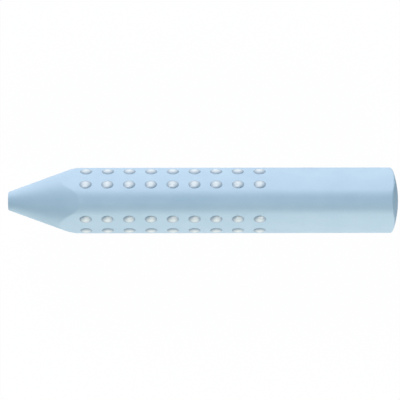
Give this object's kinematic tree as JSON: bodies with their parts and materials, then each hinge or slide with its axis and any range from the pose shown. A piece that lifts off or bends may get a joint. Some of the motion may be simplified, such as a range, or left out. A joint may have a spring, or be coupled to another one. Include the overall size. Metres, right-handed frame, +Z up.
{
  "type": "grip eraser",
  "caption": "Three-sided stick eraser in pale blue rubber with a blunt conical tip, a domed end and rows of raised white grip dots on its faces.",
  "frame": {"origin": "centre of the footprint, on the surface that the eraser rests on with one corner up", "axes": "+X along the eraser from the conical tip to the domed end, +Y across it, +Z up through a corner"},
  "size_m": [0.09, 0.0152, 0.0148],
  "materials": {
    "blue_rubber": "matte, pale blue",
    "white_rubber": "satin, slightly translucent white"
  },
  "bodies": {
    "root": {"eraser_body": "blue_rubber", "grip_dot_base_row1_1": "white_rubber", "grip_dot_base_row1_2": "white_rubber", "grip_dot_base_row1_3": "white_rubber", "grip_dot_base_row1_4": "white_rubber", "grip_dot_base_row1_5": "white_rubber", "grip_dot_base_row1_6": "white_rubber", "grip_dot_base_row1_7": "white_rubber", "grip_dot_base_row1_8": "white_rubber", "grip_dot_base_row1_9": "white_rubber", "grip_dot_base_row2_1": "white_rubber", "grip_dot_base_row2_2": "white_rubber", "grip_dot_base_row2_3": "white_rubber", "grip_dot_base_row2_4": "white_rubber", "grip_dot_base_row2_5": "white_rubber", "grip_dot_base_row2_6": "white_rubber", "grip_dot_base_row2_7": "white_rubber", "grip_dot_base_row2_8": "white_rubber", "grip_dot_base_row2_9": "white_rubber", "grip_dot_front_row1_1": "white_rubber", "grip_dot_front_row1_2": "white_rubber", "grip_dot_front_row1_3": "white_rubber", "grip_dot_front_row1_4": "white_rubber", "grip_dot_front_row1_5": "white_rubber", "grip_dot_front_row1_6": "white_rubber", "grip_dot_front_row1_7": "white_rubber", "grip_dot_front_row1_8": "white_rubber", "grip_dot_front_row1_9": "white_rubber", "grip_dot_front_row2_1": "white_rubber", "grip_dot_front_row2_2": "white_rubber", "grip_dot_front_row2_3": "white_rubber", "grip_dot_front_row2_4": "white_rubber", "grip_dot_front_row2_5": "white_rubber", "grip_dot_front_row2_6": "white_rubber", "grip_dot_front_row2_7": "white_rubber", "grip_dot_front_row2_8": "white_rubber", "grip_dot_front_row2_9": "white_rubber", "grip_dot_back_row1_1": "white_rubber", "grip_dot_back_row1_2": "white_rubber", "grip_dot_back_row1_3": "white_rubber", "grip_dot_back_row1_4": "white_rubber", "grip_dot_back_row1_5": "white_rubber", "grip_dot_back_row1_6": "white_rubber", "grip_dot_back_row1_7": "white_rubber", "grip_dot_back_row1_8": "white_rubber", "grip_dot_back_row1_9": "white_rubber", "grip_dot_back_row2_1": "white_rubber", "grip_dot_back_row2_2": "white_rubber", "grip_dot_back_row2_3": "white_rubber", "grip_dot_back_row2_4": "white_rubber", "grip_dot_back_row2_5": "white_rubber", "grip_dot_back_row2_6": "white_rubber", "grip_dot_back_row2_7": "white_rubber", "grip_dot_back_row2_8": "white_rubber", "grip_dot_back_row2_9": "white_rubber"}
  },
  "joints": []
}
